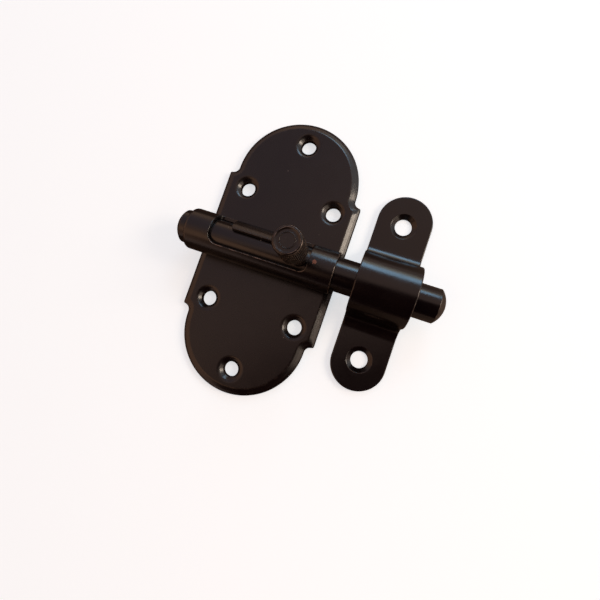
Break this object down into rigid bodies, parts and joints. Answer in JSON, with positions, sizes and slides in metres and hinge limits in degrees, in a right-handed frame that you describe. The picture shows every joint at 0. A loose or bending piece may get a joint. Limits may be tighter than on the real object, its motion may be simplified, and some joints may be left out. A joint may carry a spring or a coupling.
{
  "type": "barrel bolt latch",
  "caption": "Surface-mounted door bolt: a round bolt with a side knob slides and turns in a slotted barrel on a pressed plate, and enters a strap keeper.",
  "frame": {"origin": "on the mounting plane, halfway along the thrown bolt's length and on the centre line of the base plate and keeper; 15.1 mm from the base plate's centre towards the keeper", "axes": "+X along the bolt towards the keeper (the way the bolt is thrown), +Y along the base plate towards the side the knob is turned down to, +Z away from the door"},
  "size_m": [0.0978, 0.1072, 0.0429],
  "materials": {
    "black_lacquer": "satin-gloss brown-black lacquer on steel",
    "brown_black_lacquer": "glossy brown-black lacquer on turned steel"
  },
  "bodies": {
    "base": {"base_plate": "black_lacquer", "barrel": "brown_black_lacquer"},
    "bolt": {"bolt": "brown_black_lacquer"},
    "knob": {"knob_stem": "brown_black_lacquer", "knob_head": "brown_black_lacquer"},
    "keeper": {"keeper": "black_lacquer"}
  },
  "joints": [
    {"name": "bolt_slide", "type": "slide", "parent": "base", "child": "bolt", "axis": [1, 0, 0], "range_m": [-0.0303, 0]},
    {"name": "knob_turn", "type": "hinge", "parent": "bolt", "child": "knob", "pos_m": [-0.0014, 0, 0.0111], "axis": [1, 0, 0], "range_deg": [-57, 8]},
    {"name": "keeper_slide", "type": "slide", "parent": "base", "child": "keeper", "axis": [1, 0, 0], "range_m": [0, 0.035]}
  ]
}
